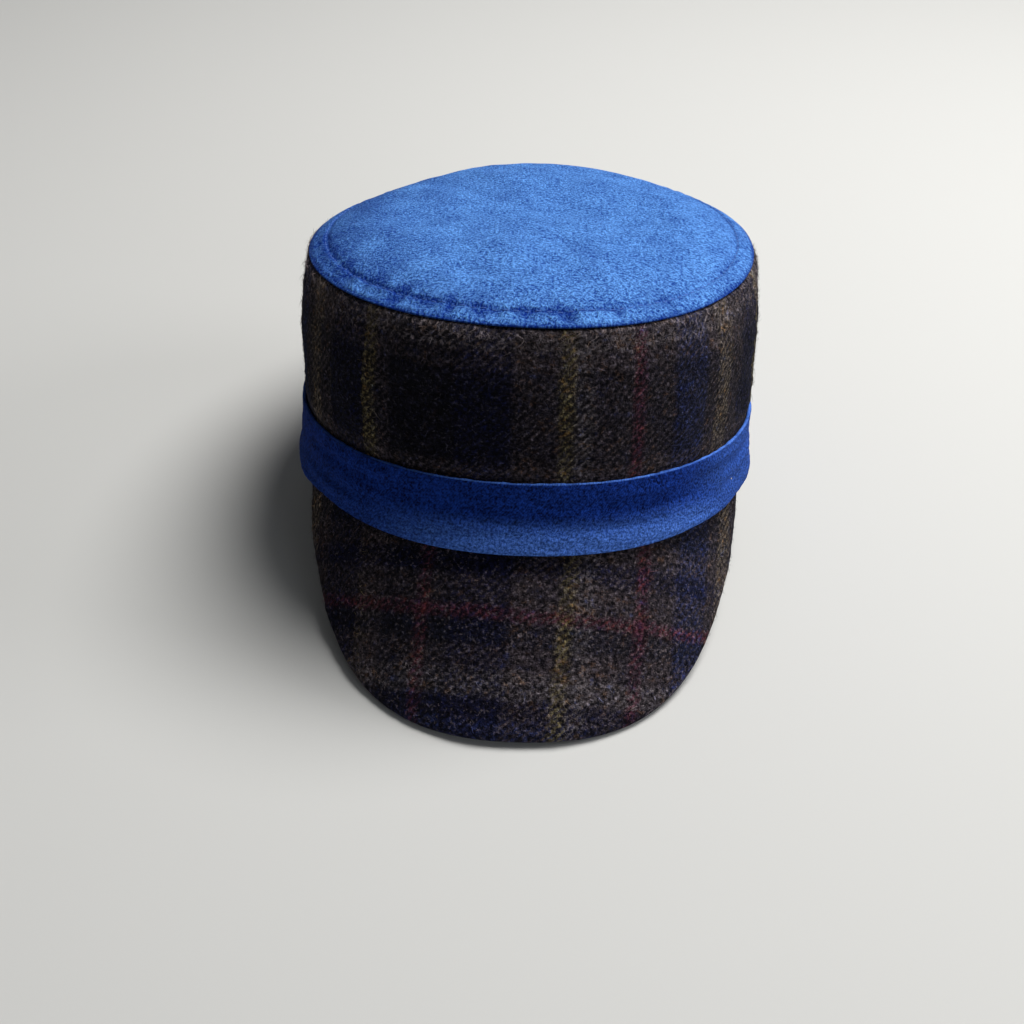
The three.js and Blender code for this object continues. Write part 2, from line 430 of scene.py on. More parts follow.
def denim_material(name, warp, weft, worn_and_painted_light_color, grain_size, wear_and_painted_light, bump_mm=0.3):
    """Denim: a steep twill of coloured warp over a paler weft, heathered, and of a third colour where the
    mask function says, which paints wear together with painted light and shade. The mask function is given
    the shader, the cloth's u and v and a fine grain."""
    s = Shader(name, roughness=0.95, specular=0.05)
    u, v = s.uv()
    cloth = s.vector(u, v)
    drift = s.noise(cloth, 0.3, 2)
    diagonal = s.add(s.add(s.mul(u, 0.82), s.mul(v, -0.57)), s.mul(drift, 1.4))
    twill = s.step(s.math("SINE", s.mul(diagonal, 2 * math.pi / DENIM_PITCH)), -0.9, 0.9)
    fine = s.step(s.noise(cloth, 1.25 / grain_size, 2, 0.7), 0.36, 0.64)
    coarse = s.step(s.noise(s.vector(v, u, 5.0), 0.7 / grain_size, 2, 0.6), 0.36, 0.64)
    cloud = s.step(s.noise(cloth, 0.09, 3, 0.65), 0.35, 0.65)
    show = s.add(s.mul(twill, 0.12), s.add(s.mul(fine, 0.58), s.mul(coarse, 0.3)))
    show = s.add(show, s.mul(s.sub(cloud, 0.5), 0.2))
    color = s.mix(show, warp, weft)
    color = s.mix(wear_and_painted_light(s, u, v, fine), color, worn_and_painted_light_color)
    height = s.add(s.mul(twill, 0.4), s.add(s.mul(fine, 0.8), s.mul(coarse, 0.6)))
    return s.finish(color, height, bump_mm=bump_mm, strength=0.9)


SETT_ACROSS, SETT_ALONG = 180.0, 143.0  # the plaid's repeats
YARN = 0.8  # the pitch of the yarns, both ways


def sett(stops, repeat):
    """Yarn colours by their place in the sett in mm, as a ramp with short joins."""
    made = []
    for start, end, color in stops:
        made += [((start + 1.1) / repeat, color), ((end - 1.1) / repeat, color)]
    return made


def tweed_material(name, lift=1.0, on_visor=False):
    """Wool tweed: a 2/2 twill whose coloured warp and weft yarns make a plaid, fulled and heathered, and
    tinted blue as painted reflected light.
    lift brightens it, and the visor's cloth starts its warp with other stripes and has its black painted
    paler, as painted light."""
    s = Shader(name, roughness=1.0, sheen=0.02, sheen_roughness=0.6, specular=0.03)
    u, v = s.uv()

    def wander(seed, scale, size):
        return s.mul(s.sub(s.noise(s.vector(u, v, seed), scale, 2), 0.5), size)

    across = s.add(s.add(u, wander(3.0, 0.8, 2.4)), wander(11.0, 0.12, 2.5))
    along = s.add(s.add(v, wander(7.0, 0.8, 2.4)), wander(15.0, 0.12, 2.5))
    warp_yarn = s.math("FLOOR", s.math("DIVIDE", across, YARN))
    weft_yarn = s.math("FLOOR", s.math("DIVIDE", along, YARN))

    umber, black, navy, slate = srgb(64, 54, 48), srgb(4, 4, 8), srgb(12, 15, 36), srgb(35, 42, 68)
    ochre, rust, stone, brick = srgb(106, 92, 52), srgb(88, 42, 44), srgb(96, 86, 76), srgb(92, 42, 44)
    tan = srgb(112, 96, 70)
    if on_visor:
        # The visor's black is painted paler than the wall's: painted light, for the visor faces up into the
        # light.
        black = srgb(20, 21, 26)
        start = [(0, 12, umber), (12, 26, black), (26, 30, rust), (30, 38, black)]
    else:
        start = [(0, 6, ochre), (6, 12, umber), (12, 38, black)]
    warp = s.ramp(s.within(s.add(across, 63.0), SETT_ACROSS), sett(start + [
        (38, 58, navy), (58, 74, umber), (74, 79.5, ochre), (79.5, 86, stone), (86, 101, umber),
        (101, 105.5, rust), (105.5, 118, umber), (118, 134, slate), (134, 141, umber), (141, 151, tan),
        (151, 161, umber), (161, 180, navy),
    ], SETT_ACROSS))
    weft = s.ramp(s.within(s.add(along, 70.0), SETT_ALONG), sett([
        (0, 10, slate), (10, 18, navy), (18, 27, stone), (27, 36, umber), (36, 45, black),
        (45, 49, brick), (49, 60, umber), (60, 68, navy), (68, 76, umber), (76, 112, black),
        (112, 119, umber), (119, 143, stone),
    ], SETT_ALONG))
    shift = s.within(s.add(s.sub(warp_yarn, weft_yarn), 0.5), 4)
    over = s.step(shift, 0.47, 0.53, 0.2, 0.8)
    color = s.mix(over, warp, weft)

    # Uneven yarns, blended wool in each of them, and a fulled face.
    white = s.node("TexWhiteNoise", noise_dimensions="2D")
    under = s.sub(1.0, over)
    s.feed(white.inputs["Vector"], s.vector(s.mul(warp_yarn, over), s.mul(weft_yarn, under)))
    uneven = s.step(white.outputs["Value"], 0.0, 1.0, 0.75, 1.25)
    patch = s.step(s.noise(s.vector(u, v, 40.0), 0.16, 3, 0.7), 0.35, 0.65)
    wool = s.noise(s.vector(u, v, 20.0), 0.6, 3, 0.75)
    fleck = s.noise(s.vector(u, v, 31.0), 0.75, 2, 0.75)
    hue = s.noise(s.vector(u, v, 52.0), 0.3, 3, 0.75)
    color = s.mix(s.add(0.12, s.mul(patch, 0.45)), color, srgb(30, 27, 33))
    color = s.mix(s.step(hue, 0.42, 0.3), color, s.times(color, (0.7, 0.9, 1.6)))
    color = s.mix(s.step(hue, 0.55, 0.66), color, s.times(color, (1.55, 1.15, 0.75)))
    color = s.mix(s.step(wool, 0.54, 0.38, 0.0, 0.9), color, srgb(4, 4, 8))
    color = s.mix(s.step(wool, 0.5, 0.64), color, s.times(color, (2.2, 2.3, 2.4)))
    bright = s.times(s.times(color, (2.0, 2.05, 2.1)), (0.012, 0.012, 0.012), "ADD")
    color = s.mix(s.step(fleck, 0.56, 0.68), color, bright)
    # Pale loose wool, most of all where the cloth rolls into the crown's seam.
    pale = 0.14 if on_visor else s.step(v, 44.0, 56.0, 0.03, 0.36)
    color = s.mix(s.mul(s.step(fleck, 0.57, 0.68), pale), color, srgb(198, 172, 146))
    shade = s.mul(uneven, lift)
    # Painted reflection: the whole cloth is tinted blue, as if lit by blue light bounced up from the floor.
    painted_blue_bounce = s.node("CombineColor")
    for socket, share in zip(painted_blue_bounce.inputs, (0.8, 0.85, 1.14)):
        s.feed(socket, s.mul(shade, share))
    color = s.mix(1.0, color, painted_blue_bounce.outputs[0], "MULTIPLY")

    def rounded(value):
        return s.math("ABSOLUTE", s.math("SINE", s.mul(value, math.pi / YARN)))

    float_height = s.add(s.mul(rounded(across), under), s.mul(rounded(along), over))
    height = s.add(s.mul(float_height, 0.35), s.add(s.mul(wool, 1.6), s.mul(fleck, 0.8)))
    return s.finish(color, height, bump_mm=0.7, strength=0.9)


def plain_cloth_material(name, color_a, color_b, pitch, sheen=0.1, roughness=0.8):
    """A plain weave read from the surface's own place, for hidden layers and lining."""
    s = Shader(name, roughness=roughness, sheen=sheen, specular=0.3)
    spot = s.place_mm()
    fine = s.noise(spot, 1.0 / pitch, 3, 0.7)
    cloud = s.noise(spot, 0.05, 2)
    color = s.mix(s.step(fine, 0.35, 0.65), color_a, color_b)
    color = s.mix(s.step(cloud, 0.3, 0.7, 0.0, 0.25), color, color_a)
    return s.finish(color, fine, bump_mm=0.12, strength=0.7)


RIB_PITCH = 1.1


def ribbon_material(name, color_a, color_b):
    """A ribbed ribbon: fine ribs across the band."""
    s = Shader(name, roughness=0.7, sheen=0.15, specular=0.3)
    u, v = s.uv()
    cloth = s.vector(u, v)
    rib = s.math("SINE", s.mul(s.add(u, s.mul(s.noise(cloth, 0.4, 2), 0.5)), 2 * math.pi / RIB_PITCH))
    fine = s.noise(cloth, 2.5, 3, 0.7)
    color = s.mix(s.step(s.add(s.mul(rib, 0.3), fine), 0.2, 0.9), color_a, color_b)
    return s.finish(color, s.add(s.mul(rib, 0.5), fine), bump_mm=0.25, strength=0.8)


def top_dye_and_painted_shade(s, u, v, grain):
    """Dark where dye is kept in the hollows of the crown's top, and painted shade there, at the rolled rim
    and down the left side.
    """
    dye_and_painted_shade = s.node("Attribute", attribute_name="kept_dye_and_painted_shade").outputs["Fac"]
    return s.mul(dye_and_painted_shade, s.add(1.0, s.mul(grain, -0.35)))


def band_wear_and_painted_highlight(s, u, v, grain):
    """Pale along the upper fold, for rubbing and painted highlight; painted highlight with a worn grain on
    the front's lower third, which faces up; and painted light over the right side, which faces the light.
    """
    pale_breakup = s.noise(s.vector(s.mul(u, 0.2), s.mul(v, 1.2)), 1.0, 3, 0.6)
    # The upper fold: rubbed pale and painted highlight where it catches the light.
    line = s.mul(s.stripe(v, 27.0, 0.15, 0.35), s.step(pale_breakup, 0.3, 0.6, 0.35, 1.0))
    line = s.mul(line, s.step(u, -80.0, 20.0, 0.2, 0.75))
    middle = s.math("MINIMUM", s.step(u, -66.0, -4.0), s.step(u, 108.0, 50.0))
    # The front's lower third faces up: painted highlight, broken by a worn grain.
    lower = s.mul(s.step(v, 16.0, 3.0), s.add(0.4, s.mul(grain, 0.8)))
    lower = s.mul(s.mul(lower, s.add(s.mul(middle, 0.8), 0.08)), s.step(pale_breakup, 0.25, 0.7, 0.5, 1.0))
    # The right side: painted light, as if lit from the right.
    right = s.mul(s.step(u, 55.0, 95.0), s.step(u, 200.0, 120.0, 0.08, 0.3))
    right = s.mul(right, s.add(0.3, s.mul(grain, 0.7)))
    return s.math("MAXIMUM", s.math("MAXIMUM", line, lower), right)


# The top's third colour is a dark blue for dye kept in hollows and for painted shade; the band's is a pale
# blue for rubbed wear and for painted highlight.
DENIM_TOP = denim_material(
    "denim_top", srgb(10, 50, 138), srgb(108, 169, 246), srgb(10, 42, 128), 1.2, top_dye_and_painted_shade, bump_mm=0.4)
DENIM_BAND = denim_material(
    "denim_band", srgb(1, 8, 46), srgb(26, 62, 156), srgb(92, 140, 238), 1.25, band_wear_and_painted_highlight)
TWEED = tweed_material("tweed")
TWEED_VISOR = tweed_material("tweed_visor", on_visor=True)
TWEED_FUZZ = tweed_material("tweed_fuzz", lift=2.2)
LINING = plain_cloth_material(
    "lining_twill", srgb(34, 36, 46), srgb(52, 54, 66), 0.35, sheen=0.2, roughness=0.5)
CANVAS = plain_cloth_material("hair_canvas", srgb(190, 178, 150), srgb(222, 212, 188), 0.6)
RIBBON = ribbon_material("ribbed_ribbon", srgb(20, 26, 44), srgb(44, 52, 78))


def grained_material(name, dark, light, scale, detail, bump_mm, **surface):
    s = Shader(name, specular=0.4, **surface)
    fine = s.noise(s.place_mm(), scale, detail, 0.6)
    return s.finish(s.mix(fine, dark, light), fine, bump_mm=bump_mm)


THREAD_LOOK = {"scale": 3.0, "detail": 2, "bump_mm": 0.1, "roughness": 0.6, "sheen": 0.1}
THREAD = grained_material("sewing_thread", srgb(22, 50, 116), srgb(52, 88, 164), **THREAD_LOOK)
TOP_THREAD = grained_material("topstitch_thread", srgb(36, 76, 160), srgb(78, 124, 206), **THREAD_LOOK)
BOARD = grained_material("visor_board", srgb(24, 24, 27), srgb(40, 40, 44), 2.0, 3, 0.05, roughness=0.5)

# ---- Crown top ----
STITCH_INSET = 6.6
RIM_LIFT = 0.5
# Deep pinches along the topstitch: place round the rim in mm, half width and depth.
PINCHES = (
    (-88, 6, 0.4), (-62, 5, 0.35), (-40, 6, 0.45), (-18, 3.4, 1.0),
    (-12, 2.2, 0.5), (-2, 3.2, 0.8), (13, 3.2, 1.1), (33, 2.6, 0.35),
)
DEEPEST_PINCH = 1.2


def support():
    """How far the seam's oval reaches along its own normal, for each column."""
    x, y = oval(SEAM_W, SEAM_D, THETA)
    tx, ty = np.roll(x, -1) - np.roll(x, 1), np.roll(y, -1) - np.roll(y, 1)
    size = np.hypot(tx, ty)
    return x * ty / size - y * tx / size


REACH = support()


def top_relief(share):
    """How far the denim stands off the plain dome, and how dark it is painted: dye kept in the hollows
    together with painted shade. share is one row for all columns."""
    inward = (1 - share) * REACH[:, None]
    x, y = oval(SEAM_W * share, SEAM_D * share, THETA[:, None])
    spot = join(x, y)
    arc = U[:, None]
    ring = join(arc, 0)
    ridge = 0.5 * smooth(0.2, 1.8, inward) * smooth(STITCH_INSET + 0.6, STITCH_INSET - 1.2, inward)
    groove = -0.7 * bell(inward, STITCH_INSET, 1.0)
    at_seam = RIM_LIFT * smooth(3, 0, inward)
    lively = 0.3 + 0.7 * smooth(70, 0, arc) * smooth(-170, -90, arc)
    gather = 0.3 * waves(join(arc, inward * 0.4), 9, 11) * lively
    nip = 0.75 * np.maximum(0, waves(ring, 13.0, 12) - 0.8) * lively
    for centre, width, depth in PINCHES:
        nip = nip + depth * bell(arc + 0.5 * (inward - 4), centre, width)
    nip = np.minimum(nip, DEEPEST_PINCH)
    pinch = -0.95 * nip
    strip = bell(inward, STITCH_INSET * 0.62, 2.6)
    tail = np.exp(-np.maximum(0, inward - STITCH_INSET) / 4.5)
    tail = smooth(STITCH_INSET - 0.5, STITCH_INSET + 0.8, inward) * tail
    slack = 0.5 * waves(spot, 55, 14) * smooth(6, 40, inward)
    slack = slack + 0.12 * waves(spot, 14, 15) * smooth(4, 20, inward)
    relief = ridge + groove + at_seam + gather * (strip + 0.6 * tail) + pinch * (strip + 0.5 * tail) + slack
    relief = np.maximum(relief, -1.1 + 0.25 * np.tanh(relief + 1.1))
    # Dark colour: dye kept and painted shade in the furrow and the pinches, painted shade at the rolled
    # rim, painted shadow of the puckers at the front left, and painted shade down the left side, away from
    # the light.
    patchy = lively * smooth(-1.4, 0.6, waves(ring, 10, 16))
    dye_and_painted_shade = bell(inward, STITCH_INSET, 1.4) * (0.16 + (0.55 + 0.45 * bell(arc, -3, 24)) * patchy)
    dye_and_painted_shade = dye_and_painted_shade + 1.2 * nip * (bell(inward, STITCH_INSET * 0.75, 3.6) + 0.5 * tail)
    # Painted shadow of the puckers along the rim at the front left.
    left_front_painted_shade = smooth(0, -45, arc) * smooth(-150, -100, arc)
    mottle = smooth(-1, 1, waves(join(arc, inward), 14, 18))
    dye_and_painted_shade = dye_and_painted_shade + 0.5 * left_front_painted_shade * bell(inward, STITCH_INSET + 3, 4.5) * mottle
    # Painted shade at the rolled rim and down the left side, and a random mottle.
    dye_and_painted_shade = dye_and_painted_shade + 0.8 * bell(inward, 0, 0.9) + 0.6 * smooth(-20, -88, x) + 0.12 * waves(spot, 26, 17)
    return relief, np.clip(dye_and_painted_shade, 0, 1)


def crown_top():
    thickness = 1.1
    # Rows of points by their distance in from the rim, close together round the stitching.
    rim = np.array([
        0, 0.25, 0.5, 0.8, 1.1, 1.5, 1.9, 2.3, 2.8, 3.3, 3.8, 4.3, 4.8, 5.2, 5.6, 5.9, 6.2, 6.5, 6.8,
        7.1, 7.5, 8.0, 8.6, 9.3, 10.1, 11.0, 12, 13.2, 14.6, 16.2, 18, 20, 22.5, 25.5, 29, 33, 38, 44,
        51, 59, 67, 75, 82,
    ])
    share = (1 - rim / SEAM_MEAN)[None, ::-1]
    relief, dye_and_painted_shade = top_relief(share)
    angle = THETA[:, None]
    x, y = rim_oval(angle, share)
    z = dome_height(angle, share)
    outer = join(x, y, z + relief)
    # The rim rolls under into the seam, then the underside goes back to the middle.
    rolled = []
    for out, drop in ((0.2, 0.15), (0.2, 0.5), (-0.15, 0.8), (-1.0, 0.9)):
        rx, ry = rim_oval(THETA, 1.0, out)
        rolled.append(join(rx, ry, seam_height(THETA) + RIM_LIFT - drop))
    under_rows = 6  # the underside starts this many rows in from the rim
    inner = outer[:, ::-1][:, under_rows:] - np.array([0, 0, thickness])
    grid = np.concatenate([outer, np.stack(rolled, 1), inner], 1)
    top_z = SEAM_H + DOME_H + float(relief[:, 0].mean())
    poles = [(0, 0, top_z), (0, 0, top_z - thickness)]
    piece = disc_mesh("crown_top_denim", grid, poles, DENIM_TOP, "denim_top", ("crown_top",))
    # The underside keeps all its dye, and the two poles are the top's and the underside's.
    # This attribute darkens the denim for dye kept in the hollows and for painted shade.
    dye_and_shade_grid = np.ones(grid.shape[:2])
    dye_and_shade_grid[:, :dye_and_painted_shade.shape[1]] = dye_and_painted_shade
    pole_dye_and_shade = [0.0, 1.0]
    layer = piece.data.attributes.new("kept_dye_and_painted_shade", "FLOAT", "POINT")
    layer.data.foreach_set("value", np.concatenate([dye_and_shade_grid.ravel(), pole_dye_and_shade]).astype(np.float32))


def stitch_places(line, pitch):
    """Centres and directions of stitches evenly spaced along a closed line of points."""
    closed = np.concatenate([line, line[:1]])
    run = np.concatenate([[0], np.cumsum(np.linalg.norm(np.diff(closed, axis=0), axis=1))])
    count = int(run[-1] / pitch)
    at = np.arange(count) * run[-1] / count
    centres = np.stack([np.interp(at, run, closed[:, k]) for k in range(3)], -1)
    ahead = np.stack([np.interp((at + 1.0) % run[-1], run, closed[:, k]) for k in range(3)], -1)
    along = ahead - centres
    return centres, along / np.linalg.norm(along, axis=1)[:, None]


def stitch_solids(name, centres, along, out, length, radius, material, slot_name, stands_for):
    """Separate stitches: short capsules, with their ends sunk in the cloth. The first three are
    arrays of points and unit directions."""
    stations = np.linspace(-1, 1, 7)
    ring = np.linspace(0, 2 * math.pi, 6, endpoint=False)
    side = np.cross(along, out)
    parts = []
    for t in stations:
        width = radius * math.sqrt(max(0.05, 1 - t**6))
        lift = radius * 0.9 * (1 - t * t * 1.9)
        middle = centres + along * (t * length / 2) + out * lift
        circle = np.cos(ring)[:, None] * side[:, None] + np.sin(ring)[:, None] * out[:, None]
        parts.append(middle[:, None] + width * circle)
    grid = np.stack(parts, 1)
    count, rows, sides = grid.shape[:3]
    base = (np.arange(count) * rows * sides)[:, None, None]
    r, k = np.meshgrid(np.arange(rows - 1), np.arange(sides), indexing="ij")
    this, following = r * sides + k, r * sides + (k + 1) % sides
    quad = join(this, following, following + sides, this + sides)
    quads = (base + quad.reshape(1, -1, 4)).reshape(-1, 4)
    cap = np.stack([np.arange(sides)[::-1], np.arange(sides) + (rows - 1) * sides])
    caps = (base + cap[None]).reshape(-1, sides)
    points = grid.reshape(-1, 3)
    faces = [quads[:, ::-1], caps[:, ::-1]]
    uvs = [points[f][..., :2] for f in faces]
    make_mesh(name, points, faces, uvs, material, slot_name, stands_for)


def crown_stitches():
    pitch = 3.6
    share = np.array([[1 - STITCH_INSET / SEAM_MEAN]])
    angle = THETA[:, None]
    x, y = rim_oval(angle, share)
    z = dome_height(angle, share) + top_relief(share)[0] - 0.05
    line = np.concatenate([x, y, z], 1)
    centres, along = stitch_places(line, pitch)
    out = np.array([0, 0, 1.0]) - along * along[:, 2:]
    out /= np.linalg.norm(out, axis=1)[:, None]
    stitch_solids("crown_topstitches", centres, along, out, 2.5, 0.17,
                  TOP_THREAD, "thread", ("crown_topstitch_thread",))


crown_top()
crown_stitches()

# ---- Crown wall ----
# The wall's foot, up to the share WALL_TUCK, stands WALL_BEHIND inside the band's oval. Above it
# the wall stands WALL_SETBACK inside, and tapers with the power WALL_SHOULDER.
WALL_TUCK, WALL_SETBACK, WALL_BEHIND, WALL_SHOULDER = 0.09, 1.6, 2.5, 5
WALL_THICKNESS = 1.8


def wall_section(share, grow):
    """Half width, half depth and height of the wall at shares of the way up, grown outwards."""
    taper = np.maximum(0, share) ** WALL_SHOULDER
    tuck = rim_tuck(THETA)[:, None]
    half_width = BAND_W + (SEAM_W - tuck + WALL_SETBACK - BAND_W) * taper + grow
    half_depth = BAND_D + (SEAM_D - tuck + WALL_SETBACK - BAND_D) * taper + grow
    return half_width, half_depth, BAND_H + share * (seam_height(THETA)[:, None] - BAND_H)


def wall_rows():
    """The wall's outer face, one row of points per column."""
    share = np.concatenate([np.linspace(-WALL_TUCK, WALL_TUCK, 13), np.linspace(WALL_TUCK, 0.9, 62)[1:]])
    grow = -(WALL_BEHIND + (WALL_SETBACK - WALL_BEHIND) * smooth(0, WALL_TUCK, share))
    half_width, half_depth, height = wall_section(share, grow)
    # The shoulder: offsets outwards from the seam's oval, and drops below the seam.
    out = np.array([1.5, 1.42, 1.28, 1.05, 0.7, 0.2, -0.5, -1.4, -2.5])
    drop = np.array([4.6, 3.7, 2.9, 2.15, 1.5, 1.05, 0.8, 0.8, 1.2])
    tuck = rim_tuck(THETA)[:, None]
    half_width = np.concatenate([half_width, SEAM_W - tuck + out], 1)
    half_depth = np.concatenate([half_depth, SEAM_D - tuck + out], 1)
    height = np.concatenate([height, seam_height(THETA)[:, None] - drop], 1)
    return half_width, half_depth, height


def wall_relief(half_width, half_depth, height):
    """The tweed's slack, calmer at the band and the seam, and its join at the centre back."""
    x, y = oval(half_width, half_depth, THETA[:, None])
    spot = join(x, y, height)
    near_band = smooth(BAND_H + 9, BAND_H + 1, height)
    top = seam_height(THETA)[:, None]
    near_seam = smooth(top - 3, top - 0.5, height)
    relief = 0.42 * waves(spot, 46, 21) + 0.2 * waves(spot, 17, 22)
    relief = relief + 0.11 * waves(spot, 5.5, 23) + 0.06 * waves(spot, 2.6, 24)
    from_front = np.abs(U)[:, None]
    back = -1.1 * bell(from_front, HALF_ROUND, 1.1) + 0.35 * bell(from_front, HALF_ROUND - 4, 3)
    return relief * (1 - 0.9 * near_band) * (1 - 0.6 * near_seam) + back * (1 - near_band)


def crown_wall():
    rows = wall_rows()
    relief = wall_relief(*rows)
    v = rows[2].mean(0) - BAND_H
    piece, outer, cloth = ring_sheet(
        "crown_wall_tweed", *rows, WALL_THICKNESS, relief, v, TWEED, "tweed", ("crown_wall",))
    return outer, cloth


FLOOR_CLEARANCE = 0.3


def fuzz(name, face, cloth, count, seed, weight=1.0):
    """Loose wool fibres: closed, tapering, curling slivers on a face of the tweed. face is a grid,
    (columns, rows, 3). Steps along its columns and rows, in that order, cross to point outwards."""
    draw = np.random.default_rng(seed)
    a, b, c = face[:-1, :-1], face[1:, :-1], face[:-1, 1:]
    cross = np.cross(b - a, c - a)
    area = np.linalg.norm(cross, axis=-1)
    chance = area * weight
    cell = draw.choice(area.size, count, p=(chance / chance.sum()).ravel())
    i, j = np.unravel_index(cell, area.shape)
    s, t = draw.random((2, count, 1))

    def within(grid):
        return (grid[i, j] * (1 - s) * (1 - t) + grid[i + 1, j] * s * (1 - t)
                + grid[i, j + 1] * (1 - s) * t + grid[i + 1, j + 1] * s * t)

    root, spot = within(face), within(cloth)
    normal = cross[i, j] / area[i, j][:, None]
    flat = draw.normal(size=(count, 3))
    flat -= normal * (flat * normal).sum(1)[:, None]
    flat /= np.linalg.norm(flat, axis=1)[:, None]
    side = np.cross(normal, flat)
    length = draw.gamma(5.0, 0.32, (count, 1)) + 0.5
    rise = np.radians(draw.uniform(5, 55, (count, 1)))
    curl = draw.normal(0, 0.55, (count, 1))
    radius = draw.uniform(0.03, 0.075, (count, 1))
    # Each fibre is three triangles of points and a tip, and its root is sunk in the cloth.
    stations = []
    for share in (0.0, 0.35, 0.7, 1.0):
        ahead = flat * np.cos(rise) + side * curl * share
        climb = normal * np.sin(rise) * (share - 0.55 * share * share)
        centre = root - normal * 0.12 + (ahead * share + climb) * length
        width = radius * (1 - share) ** 0.6
        if share == 1.0:
            stations.append(centre[:, None])
        else:
            for k in range(3):
                turn_by = k * 2 * math.pi / 3
                spoke = math.cos(turn_by) * side + math.sin(turn_by) * normal
                stations.append((centre + width * spoke)[:, None])
    points = np.concatenate(stations, 1)
    # A fibre that would reach the floor is left out.
    above = place(points)[..., 2].min(1) > FLOOR_CLEARANCE * MM
    points, spot, count = points[above], spot[above], int(above.sum())
    per_fibre = points.shape[1]
    base = (np.arange(count) * per_fibre)[:, None, None]
    quads = []
    for first in (0, 3):
        for k in range(3):
            this, following = first + k, first + (k + 1) % 3
            quads.append([this, following, following + 3, this + 3])
    tips = [[6 + k, 6 + (k + 1) % 3, 9] for k in range(3)] + [[2, 1, 0]]
    faces = [(base + np.array(quads)[None]).reshape(-1, 4), (base + np.array(tips)[None]).reshape(-1, 3)]
    spots = np.repeat(spot, per_fibre, 0)
    make_mesh(name, points.reshape(-1, 3), faces, [spots[f] for f in faces], TWEED_FUZZ, "tweed")


wall_face, wall_cloth = crown_wall()
FUZZY_ROWS = slice(14, 80)  # from just above the band to the shoulder, where the fibres stand thickest
row_weight = 0.35 + 2.2 * smooth(46, 62, np.arange(65))
fuzz("crown_wall_fuzz", wall_face[:, FUZZY_ROWS], wall_cloth[:, FUZZY_ROWS], 16000, 81, row_weight)


# ---- Band ----
FOLD_RADIUS = 0.7
LOWER_FOLD_RADIUS = 1.0
CREST = 15  # the section's first point on the upper fold


def fold(across, height, radius, way, start, end):
    """Nine points of a half turn of the cloth, upwards for way 1 and downwards for way -1."""
    angles = np.linspace(start, end, 9)
    return [(across - way * radius * math.cos(a), height + way * radius * math.sin(a)) for a in angles]


def band_path():
    """The folded band's section, as offsets from the band's outer face and heights: up the inner
    side, over the upper fold, down the outer side and round the lower fold."""
    section = [(-1.75, 3.0)]
    section += [(-2.0, h) for h in np.linspace(5, 21, 11)] + [(-1.9, 22.4), (-1.6, 24.0), (-1.42, 25.3)]
    section += fold(-FOLD_RADIUS, 26.3, FOLD_RADIUS, 1, 0.2, math.pi - 0.2)
    section += [(0.0, h) for h in np.linspace(25.6, 1.6, 34)]
    section += fold(-LOWER_FOLD_RADIUS, 1.0, LOWER_FOLD_RADIUS, -1, 0.1, math.pi - 0.6)
    return np.array(section)


def band_shape(section):
    """A section's offsets and heights for each column, and how far each column is at the front."""
    offset, height = (part[None] + 0 * U[:, None] for part in section.T)
    front = smooth(math.radians(95), math.radians(60), np.abs(THETA))[:, None]
    # The lower edge lifts at the front corners, and its front third turns out over the visor.
    corner = bell(np.abs(np.degrees(THETA)), 60, 24)[:, None]
    low = smooth(20, 0, height)
    height = height + 2.3 * corner * (1 - height / BAND_H) + 0.7 * front * smooth(12, 0, height)
    lip = front * (1.5 * low**1.3 - 0.5 * bell(height, 15, 5))
    return offset - BAND_LEAN * height / BAND_H + lip, height, front


def band():
    section = band_path()
    grow, height, front = band_shape(section)
    outer_side = (np.arange(len(section)) > CREST)[None] * 1.0
    x, y = oval(BAND_W + grow, BAND_D + grow, THETA[:, None])
    arc = U[:, None] + 0 * height
    drag = join(arc * 0.09 + height * 0.035, height, 0)
    creases = 0.3 * waves(drag, 7.5, 31, count=18) * smooth(26, 21, height) * smooth(0.5, 4, height)
    spot = join(x, y, height)
    slack = 0.14 * waves(spot, 38, 32)
    small = 0.07 * waves(spot, 5, 33)
    level = 0.16 * waves(join(arc * 0.06, height, 0), 7, 34) * smooth(26, 22, height)
    relief = creases * (0.5 + 0.5 * front) + slack * smooth(26, 22, height) + small + level
    relief = relief * outer_side * smooth(0.4, 4.5, height)
    # The ends overlap at the back.
    lap = smooth(-HALF_ROUND + 12.6, -HALF_ROUND + 12.0, arc) * 0.9 * outer_side * smooth(0.3, 3, height)
    # The cloth's v is the height on the outer side, and runs on over the fold down the inner side.
    v = np.where(np.arange(len(section)) <= CREST, 2 * BAND_H - section[:, 1], section[:, 1])
    thickness = 0.65
    piece, _, _ = ring_sheet(
        "hat_band_denim", BAND_W + grow, BAND_D + grow, height, thickness, relief + lap, v,
        DENIM_BAND, "denim_band", ("hat_band",))


def band_canvas():
    """The stiff strip inside the fold."""
    section = np.array([(-0.95, h) for h in np.linspace(3.5, 22, 24)])
    grow, height, _ = band_shape(section)
    thickness = 0.25
    piece, _, _ = ring_sheet(
        "band_canvas", BAND_W + grow, BAND_D + grow, height, thickness, 0 * height, section[:, 1],
        CANVAS, "canvas", ("band_stiffener",))


band()
band_canvas()


# ---- Visor ----
def visor_reach(angle):
    """How far down the slope the visor reaches from its root."""
    share = np.minimum(1, np.abs(angle) / VISOR_HALF)
    return VISOR_END + (VISOR_LENGTH - VISOR_END) * (1 - share**VISOR_FULLNESS)


